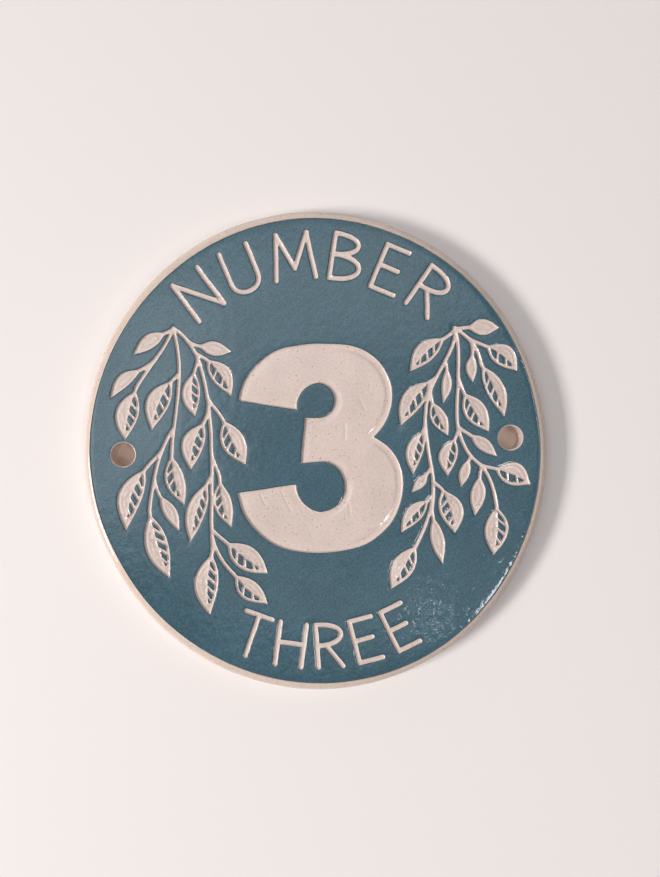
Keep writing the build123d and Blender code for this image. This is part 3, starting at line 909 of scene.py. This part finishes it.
# Drag marks: their count per millimetre, how much darker their grooves are painted (own tone and painted
# shade), and their span
DRAG_MARKS_PER_MM, DRAG_MARK_AND_SHADE_TONE, DRAG_SPAN = 2.2, 0.14, (0.3, 0.6)
BARE_COLOUR = (0.6, 0.47, 0.4)
SPECK_COLOUR = (0.42, 0.3, 0.235)
SPECK_LEAST, SPECK_CORE = 0.5, 0.6
GLAZE_IOR, GRAIN_RELIEF = 1.5, 0.3
SLIP_RIPPLE, CLAY_RIPPLE, BARE_RIPPLE = 0.09 * mm, 0.1 * mm, 0.1 * mm
CLOUD_SPAN = (0.3, 0.7)


def own_place(tree):
    return add_node(tree, "ShaderNodeTexCoord").outputs["Object"]


def stored(tree, name):
    return add_node(tree, "ShaderNodeAttribute", attribute_name=name).outputs["Fac"]


def cloud(tree, place, scale, detail):
    """Soft chance from 0 to 1, mostly within CLOUD_SPAN."""
    values = {"Vector": place, "Scale": scale, "Detail": detail}
    return add_node(tree, "ShaderNodeTexNoise", values).outputs["Fac"]


def ranged(tree, value, start, end, low=0.0, high=1.0, **settings):
    """Takes a value from one span to another, and holds it at the ends."""
    span = {"Value": value, "From Min": start, "From Max": end, "To Min": low, "To Max": high}
    return add_node(tree, "ShaderNodeMapRange", span, **settings).outputs[0]


def effect_tree(name, inputs, output):
    """A shader group with plain numbers for inputs and one output."""
    sockets = [(socket, "Float", 1.0) for socket in inputs]
    return new_tree("ShaderNodeTree", name, sockets, [(output, "Float")])


def mottle_group():
    """Uneven tone, as fired clay and slip have it."""
    tree, start, end = effect_tree("fired_mottle", ("Scale", "Low", "High"), "Tone")
    patches = cloud(tree, own_place(tree), start.outputs["Scale"], detail=4.0)
    tone = ranged(tree, patches, *CLOUD_SPAN, start.outputs["Low"], start.outputs["High"])
    tree.links.new(tone, end.inputs["Tone"])
    return tree


def speck_group():
    """Small specks, scattered one to a cell, in a share of the cells."""
    tree, start, end = effect_tree("fired_specks", ("Scale", "Size", "Share"), "Mask")
    values = {"Vector": own_place(tree), "Scale": start.outputs["Scale"]}
    cells = add_node(tree, "ShaderNodeTexVoronoi", values)
    chance = add_node(tree, "ShaderNodeSeparateColor", {0: cells.outputs["Color"]})
    chosen = calc(tree, "LESS_THAN", chance.outputs[0], start.outputs["Share"])
    size = calc(tree, "ADD", chance.outputs[1], SPECK_LEAST)
    reach = calc(tree, "MULTIPLY", start.outputs["Size"], size)
    core = calc(tree, "MULTIPLY", reach, SPECK_CORE)
    soft = ranged(tree, cells.outputs["Distance"], core, reach, 1.0, 0.0)
    tree.links.new(calc(tree, "MULTIPLY", soft, chosen), end.inputs["Mask"])
    return tree


MOTTLE, SPECKS = mottle_group(), speck_group()


def effect(tree, group, **values):
    """Places a shared effect in a material with its own values and gives its output."""
    node = add_node(tree, "ShaderNodeGroup", node_tree=group)
    for name, value in values.items():
        node.inputs[name].default_value = value
    return node.outputs[0]


def new_material(name, roughness):
    material = bpy.data.materials.new(name)
    material.use_nodes = True
    tree = material.node_tree
    tree.nodes.clear()
    shader = add_node(tree, "ShaderNodeBsdfPrincipled", {"Roughness": roughness, "IOR": GLAZE_IOR})
    add_node(tree, "ShaderNodeOutputMaterial", {"Surface": shader.outputs[0]})
    return material, tree, shader


def toned(tree, colour, *tones):
    """A colour times one or more tones."""
    shade = tones[0]
    for tone in tones[1:]:
        shade = calc(tree, "MULTIPLY", shade, tone)
    values = {0: colour, "Scale": shade}
    return add_node(tree, "ShaderNodeVectorMath", values, operation="SCALE").outputs[0]


def blended(tree, mask, colour, other):
    """One colour, and another where the mask is 1. The mix node's colours are its sockets 6, 7 and 2."""
    node = add_node(tree, "ShaderNodeMix", {"Factor": mask}, data_type="RGBA")
    for number, value in ((6, colour), (7, other)):
        if isinstance(value, bpy.types.NodeSocket):
            tree.links.new(value, node.inputs[number])
        else:
            node.inputs[number].default_value = (*value, 1.0)
    return node.outputs[2]


def ripple(tree, shader, height, distance):
    bump = add_node(tree, "ShaderNodeBump", {"Height": height, "Strength": 1.0, "Distance": distance})
    tree.links.new(bump.outputs[0], shader.inputs["Normal"])


def specked(tree, shader, base, specks, colour):
    tree.links.new(blended(tree, specks, base, colour), shader.inputs["Base Color"])


def slip_material():
    """Blue-grey slip under clear glaze: brushed on, so faintly streaked, and darker beside the cuts, where
    glaze pools and shade is painted.
    """
    material, tree, shader = new_material("blue_slip_glazed", roughness=0.1)
    place = own_place(tree)
    along_brush = {"Vector": place, "Rotation": (0, BRUSH_TURN, 0), "Scale": (1, 1, BRUSH_STRETCH)}
    stroke = add_node(tree, "ShaderNodeMapping", along_brush, vector_type="TEXTURE").outputs[0]
    brush = cloud(tree, stroke, scale=1000.0, detail=3.0)
    tones = [
        effect(tree, MOTTLE, Scale=55.0, Low=0.92, High=1.08),
        effect(tree, MOTTLE, Scale=1700.0, Low=0.72, High=1.28),
        ranged(tree, brush, *CLOUD_SPAN, low=0.92, high=1.08),
        # Painted shade on the slip at the cut edges, where the cut walls shade it, along with pooled glaze
        ranged(tree, stored(tree, "inside"), -POOLED_GLAZE_AND_SHADE_WIDTH, 0.0, low=1.0, high=POOLED_GLAZE_AND_SHADE_TONE),
    ]
    specks = effect(tree, SPECKS, Scale=130.0, Size=0.03, Share=0.12)
    specked(tree, shader, toned(tree, SLIP_COLOUR, *tones), specks, CLAY_COLOUR)
    swell = cloud(tree, place, scale=420.0, detail=2.0)
    height = calc(tree, "ADD", swell, calc(tree, "MULTIPLY", brush, BRUSH_RELIEF))
    ripple(tree, shader, height, SLIP_RIPPLE)
    return material


def clay_material():
    """Buff stoneware clay under clear glaze, with fine iron specks, and faint drag marks in shallow cuts,
    their grooves painted darker as shade.
    """
    material, tree, shader = new_material("buff_clay_glazed", roughness=0.14)
    into_cut = stored(tree, "inside")
    grain = cloud(tree, own_place(tree), scale=600.0, detail=3.0)
    rows = calc(tree, "ADD", calc(tree, "MULTIPLY", into_cut, DRAG_MARKS_PER_MM / mm), grain)
    lines = {"W": rows, "Scale": 1.0, "Detail": 1.0}
    drag = add_node(tree, "ShaderNodeTexNoise", lines, noise_dimensions="1D").outputs[0]
    dragged = ranged(tree, stored(tree, "depth"), LEAF_DEPTH, NUMERAL_DEPTH, low=1.0, high=0.0)
    # The drag marks' grooves are darker: partly the marks' own tone, partly painted shade in the grooves
    darkest = calc(tree, "SUBTRACT", 1.0, calc(tree, "MULTIPLY", dragged, DRAG_MARK_AND_SHADE_TONE))
    tones = [
        effect(tree, MOTTLE, Scale=90.0, Low=0.95, High=1.05),
        effect(tree, MOTTLE, Scale=1500.0, Low=0.92, High=1.08),
        ranged(tree, drag, *DRAG_SPAN, low=darkest, high=1.0),
    ]
    on_rim = ranged(tree, into_cut, -RIM_COLOUR_FROM, -RIM_COLOUR_FULL)
    clay = blended(tree, on_rim, CLAY_COLOUR, RIM_COLOUR)
    specks = effect(tree, SPECKS, Scale=800.0, Size=0.17, Share=0.45)
    specked(tree, shader, toned(tree, clay, *tones), specks, SPECK_COLOUR)
    marks = calc(tree, "MULTIPLY", drag, dragged)
    height = calc(tree, "ADD", calc(tree, "MULTIPLY", grain, GRAIN_RELIEF), marks)
    ripple(tree, shader, height, CLAY_RIPPLE)
    return material


def bare_material():
    """The same clay where no glaze lies: dry, a little darker and faintly sandy."""
    material, tree, shader = new_material("buff_clay_bare", roughness=0.8)
    tone = effect(tree, MOTTLE, Scale=70.0, Low=0.92, High=1.06)
    specks = effect(tree, SPECKS, Scale=420.0, Size=0.16, Share=0.35)
    specked(tree, shader, toned(tree, BARE_COLOUR, tone), specks, SPECK_COLOUR)
    ripple(tree, shader, cloud(tree, own_place(tree), scale=1500.0, detail=4.0), BARE_RIPPLE)
    return material


FINISHES = {"Slip": slip_material(), "Clay": clay_material(), "Bare clay": bare_material()}


def carving_tree():
    """Sinks the cuts into the slab, with rounded walls, softened lips, tool ridges and an uneven face."""
    sizes = ["Wall width", "Lip width", "Lip drop", "Nick depth", "Waviness", "Wave scale", "Seed"]
    tree, start, end = new_tree(
        "GeometryNodeTree",
        "carving",
        [("Slab", "Geometry", None)]
        + [(name, "Float", 0.0) for name in sizes]
        + [(name, "Material", None) for name in FINISHES],
        [("Carved slab", "Geometry")],
    )

    def waves(scale, seed_step):
        place = add_node(tree, "GeometryNodeInputPosition").outputs[0]
        seed = calc(tree, "ADD", start.outputs["Seed"], seed_step)
        values = {"Vector": place, "W": seed, "Scale": scale, "Detail": 2.0}
        return add_node(tree, "ShaderNodeTexNoise", values, noise_dimensions="4D").outputs[0]

    into_wall = calc(tree, "DIVIDE", read(tree, "inside"), start.outputs["Wall width"], clamp=True)
    short_of_floor = calc(tree, "POWER", calc(tree, "SUBTRACT", 1.0, into_wall), WALL_POWER)
    cut = calc(tree, "MULTIPLY", read(tree, "depth"), calc(tree, "SUBTRACT", 1.0, short_of_floor))
    past_lip = calc(tree, "DIVIDE", read(tree, "inside"), start.outputs["Lip width"])
    on_lip = calc(tree, "ADD", 1.0, past_lip, clamp=True)
    lip = calc(tree, "MULTIPLY", start.outputs["Lip drop"], calc(tree, "POWER", on_lip, LIP_POWER))
    unevenness = calc(tree, "MULTIPLY", waves(RIDGE_WAVES, RIDGE_SEED), RIDGE_SPAN)
    evenness = calc(tree, "ADD", RIDGE_LEAST, unevenness)
    uneven_ridge = calc(tree, "MULTIPLY", read(tree, "ridge"), evenness)
    ridge = calc(tree, "MULTIPLY", uneven_ridge, into_wall)
    wave = calc(tree, "MULTIPLY", start.outputs["Waviness"], waves(start.outputs["Wave scale"], 0.0))
    sink = calc(tree, "SUBTRACT", calc(tree, "ADD", cut, lip), ridge)
    sink = calc(tree, "ADD", sink, calc(tree, "MULTIPLY", read(tree, "nick"), start.outputs["Nick depth"]))
    sink = calc(tree, "ADD", sink, calc(tree, "MULTIPLY", wave, read(tree, "front")))
    offset = add_node(tree, "ShaderNodeCombineXYZ", {"Y": sink})
    values = {"Geometry": start.outputs["Slab"], "Offset": offset.outputs[0]}
    moved = add_node(tree, "GeometryNodeSetPosition", values)
    shape = add_node(tree, "GeometryNodeRealizeInstances", {0: moved.outputs[0]}).outputs[0]
    for number, name in enumerate(FINISHES):
        values = {2: read(tree, "finish", "INT"), 3: number}
        chosen = add_node(tree, "FunctionNodeCompare", values, data_type="INT", operation="EQUAL")
        values = {"Geometry": shape, "Selection": chosen.outputs[0], "Material": start.outputs[name]}
        shape = add_node(tree, "GeometryNodeSetMaterial", values).outputs[0]
    tree.links.new(shape, end.inputs[0])
    return tree


carved_plaque = new_object("carved_plaque", slab_mesh)
run_nodes(
    carved_plaque,
    carving_tree(),
    {
        "Wall width": WALL_WIDTH, "Lip width": LIP_WIDTH, "Lip drop": LIP_DROP, "Nick depth": NICK_DEPTH,
        "Waviness": WAVINESS, "Wave scale": WAVE_SCALE, "Seed": float(HAND_SEED), **FINISHES,
    },
)
carved_plaque.data.shade_smooth()
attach(carved_plaque, "root")
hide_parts("plaque")

# Stage: a plain pale board behind the plaque, open where the plaque hides it so that the back can be
# seen from behind, daylight from a window on the left and two small ones at the lower right, the dim
# room in front, and the camera at the photograph's viewing angle.

WALL_COLOUR = (0.86, 0.8, 0.785)
# Painted shade and warm bounce light: the board seen through the screw holes, made darker and warmer than
# the wall
HOLE_SHADE_AND_BOUNCE_COLOUR = (0.8, 0.65, 0.565)
WALL_GAP = 0.3 * mm
WALL_REACH = 1.5
WALL_ROUGHNESS = 0.7
HIDDEN_EDGE, HOLE_BACK_MARGIN = 0.5 * mm, 0.15 * mm
WARM_DAYLIGHT, PLAIN_DAYLIGHT = (1.0, 0.98, 0.95), (1.0, 1.0, 1.0)


def wall_material(name, colour):
    """A matt colour that is clear from behind."""
    material, tree, shader = new_material(name, WALL_ROUGHNESS)
    shader.inputs["Base Color"].default_value = (*colour, 1)
    clear = add_node(tree, "ShaderNodeBsdfTransparent")
    behind = add_node(tree, "ShaderNodeNewGeometry").outputs["Backfacing"]
    mixed = add_node(tree, "ShaderNodeMixShader", {0: behind, 1: shader.outputs[0], 2: clear.outputs[0]})
    end = next(node for node in tree.nodes if node.type == "OUTPUT_MATERIAL")
    tree.links.new(mixed.outputs[0], end.inputs["Surface"])
    return material


def flat_stage(name, points, stage_faces, material):
    mesh = bpy.data.meshes.new(name)
    mesh.from_pydata([(x, WALL_GAP, z) for x, z in points], [], stage_faces)
    mesh.materials.append(material)
    new_object(name, mesh)


PAINTED_BOARD = wall_material("painted_board", WALL_COLOUR)
PAINTED_HOLE_SHADE = wall_material("painted_hole_shade", HOLE_SHADE_AND_BOUNCE_COLOUR)
hidden_edge = oval_ring(HIDDEN_EDGE)
board_edge = hidden_edge / np.hypot(*hidden_edge.T)[:, None] * WALL_REACH
band = [[a, a + AROUND_SLAB, b + AROUND_SLAB, b] for a, b in loop_edges(0, AROUND_SLAB)]
flat_stage("board", np.vstack([hidden_edge, board_edge]), band, PAINTED_BOARD)
# Discs of the board behind the screw holes, coloured with the painted shade and warm bounce of the hole
# floors
for number, centre in enumerate(HOLE_CENTRES):
    disc = circle_ring(centre, HOLE_RADIUS + HOLE_BACK_MARGIN)
    flat_stage(f"board_behind_hole_{number}", disc, [list(range(AROUND_HOLE))], PAINTED_HOLE_SHADE)


def window_light(name, place, size, power, colour, lean=0.0):
    """A rectangle of daylight that faces the middle of the plaque, upright or leaning."""
    lamp = bpy.data.lights.new(name, "AREA")
    lamp.shape = "RECTANGLE"
    lamp.size, lamp.size_y = size
    lamp.energy = power
    lamp.color = colour
    thing = new_object(name, lamp)
    thing.location = place
    facing = (-Vector(place)).to_track_quat("-Z", "Y")
    thing.rotation_euler = (facing @ Quaternion((0, 0, 1), lean)).to_euler()


window_light(
    "left_window", place=(-1.63, -1.08, -0.43), size=(0.38, 0.7), power=38.0, colour=WARM_DAYLIGHT
)
window_light(
    "low_right_window", place=(0.64, -1.292, -0.542), size=(0.17, 0.45), power=4.0,
    colour=PLAIN_DAYLIGHT, lean=math.radians(50),
)
window_light(
    "low_window", place=(0.252, -1.43, -0.433), size=(0.022, 0.022), power=0.055, colour=PLAIN_DAYLIGHT
)

# The room, as the glaze mirrors it: dim, with a pale ceiling and, in front, a pale wall that is brighter
# on the left and at the top and dimmer in the middle
ROOM_COLOUR = (0.98, 0.99, 1.0, 1)
ROOM_LOW, ROOM_HIGH, CEILING_SPAN = 0.03, 1.0, (0.7, 0.97)
# The even light behind the board, and the plain pale backdrop where the room itself is seen
BEHIND_BOARD, BEHIND_SPAN, SEEN_ROOM = 0.85, (0.0, 0.3), 0.8
# Direction, then the nearness to it at which a glow begins and at which it is full, and its strength
ROOM_GLOWS = [
    ((0.0, -1.0, 0.0), 0.938, 0.963, 0.8),
    ((-0.42, -0.9, 0.08), 0.945, 0.99, 1.85),
    ((-0.64, -0.77, 0.0), 0.955, 0.985, 1.1),
    ((0.0, -0.95, 0.33), 0.945, 0.99, 0.85),
    ((0.08, -1.0, 0.0), 0.972, 0.99, -0.4),
]
world = bpy.data.worlds.new("room")
bpy.context.scene.world = world
world.use_nodes = True
room = world.node_tree
way = add_node(room, "ShaderNodeTexCoord").outputs["Generated"]
way_parts = add_node(room, "ShaderNodeSeparateXYZ", {0: way}).outputs
glow = ranged(room, way_parts["Z"], *CEILING_SPAN, ROOM_LOW, ROOM_HIGH)
for direction, begins, full, strength in ROOM_GLOWS:
    toward = {0: way, 1: Vector(direction).normalized()}
    near = add_node(room, "ShaderNodeVectorMath", toward, operation="DOT_PRODUCT").outputs["Value"]
    lobe = ranged(room, near, begins, full, 0.0, strength, interpolation_type="SMOOTHSTEP")
    glow = calc(room, "ADD", glow, lobe)
glow = calc(room, "ADD", glow, ranged(room, way_parts["Y"], *BEHIND_SPAN, 0.0, BEHIND_BOARD))
seen = add_node(room, "ShaderNodeLightPath").outputs["Is Camera Ray"]
strength = add_node(room, "ShaderNodeMix", {0: seen, 2: glow, 3: SEEN_ROOM}).outputs[0]
room.nodes["Background"].inputs["Color"].default_value = ROOM_COLOUR
room.links.new(strength, room.nodes["Background"].inputs["Strength"])

CAMERA_LENS, CAMERA_SENSOR, CAMERA_CLIP = 27.8, 36.0, 0.005
CAMERA_RIGHT, CAMERA_UP, CAMERA_DISTANCE = 4.51 * mm, 3.89 * mm, 213 * mm
camera = new_object("camera", bpy.data.cameras.new("camera"))
camera.data.lens = CAMERA_LENS
camera.data.sensor_width = CAMERA_SENSOR
camera.data.clip_start = CAMERA_CLIP
camera.location = (CAMERA_RIGHT, -SLAB_THICKNESS - CAMERA_DISTANCE, CAMERA_UP)
camera.rotation_euler = (math.pi / 2, 0, 0)
bpy.context.scene.camera = camera
bpy.context.scene.view_settings.view_transform = "Standard"
